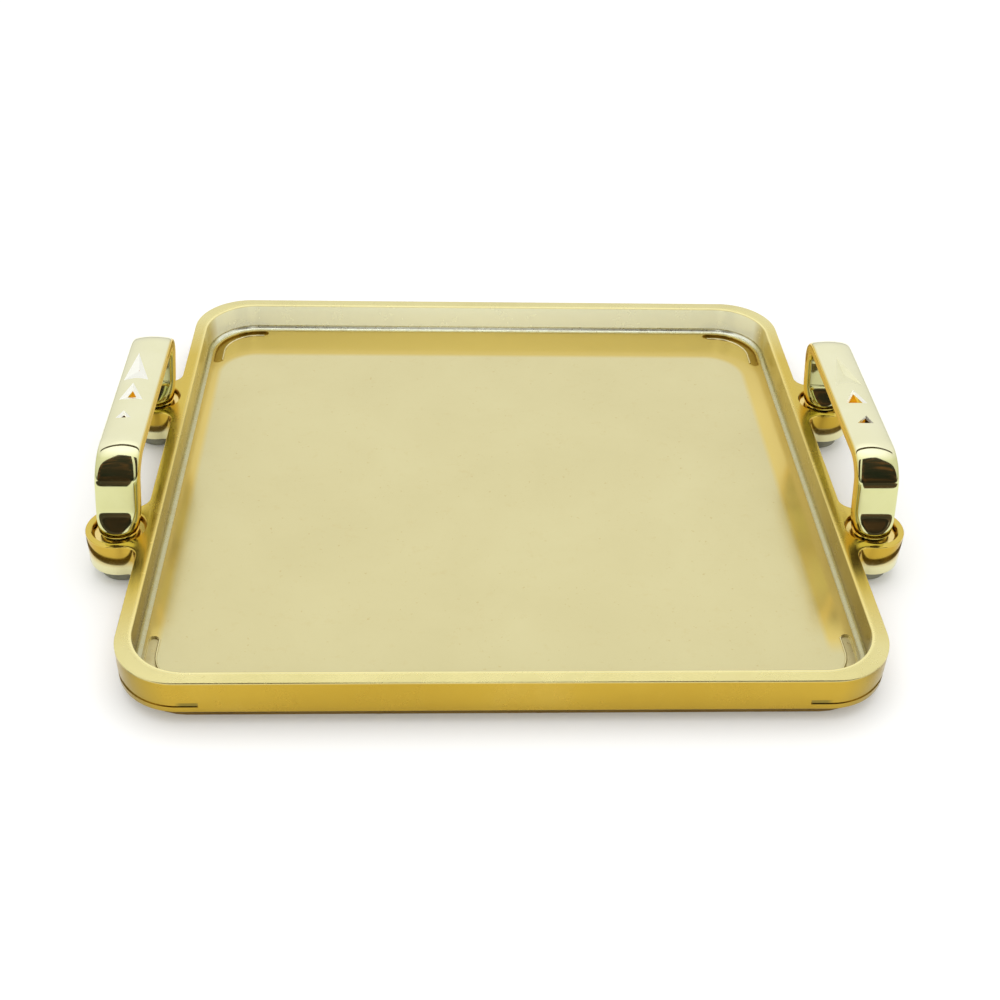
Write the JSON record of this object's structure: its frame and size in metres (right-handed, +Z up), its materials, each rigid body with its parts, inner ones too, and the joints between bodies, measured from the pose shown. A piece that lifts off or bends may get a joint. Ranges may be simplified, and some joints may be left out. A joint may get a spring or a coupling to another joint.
{
  "type": "serving tray",
  "caption": "Rectangular brass serving tray with rounded corners, an upright gallery rail, round side lugs, arc grooves in its corners and rigid staple handles carved on top.",
  "frame": {"origin": "middle of the tray on the surface it stands on, below the centre of its floor", "axes": "+X to the right-hand handle, +Y to the back, +Z up"},
  "size_m": [0.4634, 0.376, 0.0791],
  "materials": {
    "satin_brass": "satin cast brass with a bright top edge",
    "floor_brass": "pale worn satin brass sheet with fine specks",
    "polished_brass": "mirror polished brass",
    "collar_brass": "turned bright brass",
    "grey_rubber": "matt grey rubber",
    "zinc_steel": "zinc plated steel"
  },
  "bodies": {
    "root": {"gallery_rail": "satin_brass", "floor_sheet": "floor_brass", "handle_left": "polished_brass", "handle_right": "polished_brass", "leg_collar_front_left": "collar_brass", "leg_collar_front_right": "collar_brass", "leg_collar_back_left": "collar_brass", "leg_collar_back_right": "collar_brass", "washer_front_left": "zinc_steel", "washer_front_right": "zinc_steel", "washer_back_left": "zinc_steel", "washer_back_right": "zinc_steel", "screw_front_left": "zinc_steel", "screw_front_right": "zinc_steel", "screw_back_left": "zinc_steel", "screw_back_right": "zinc_steel", "foot_front_left": "grey_rubber", "foot_front_right": "grey_rubber", "foot_back_left": "grey_rubber", "foot_back_right": "grey_rubber"}
  },
  "joints": []
}
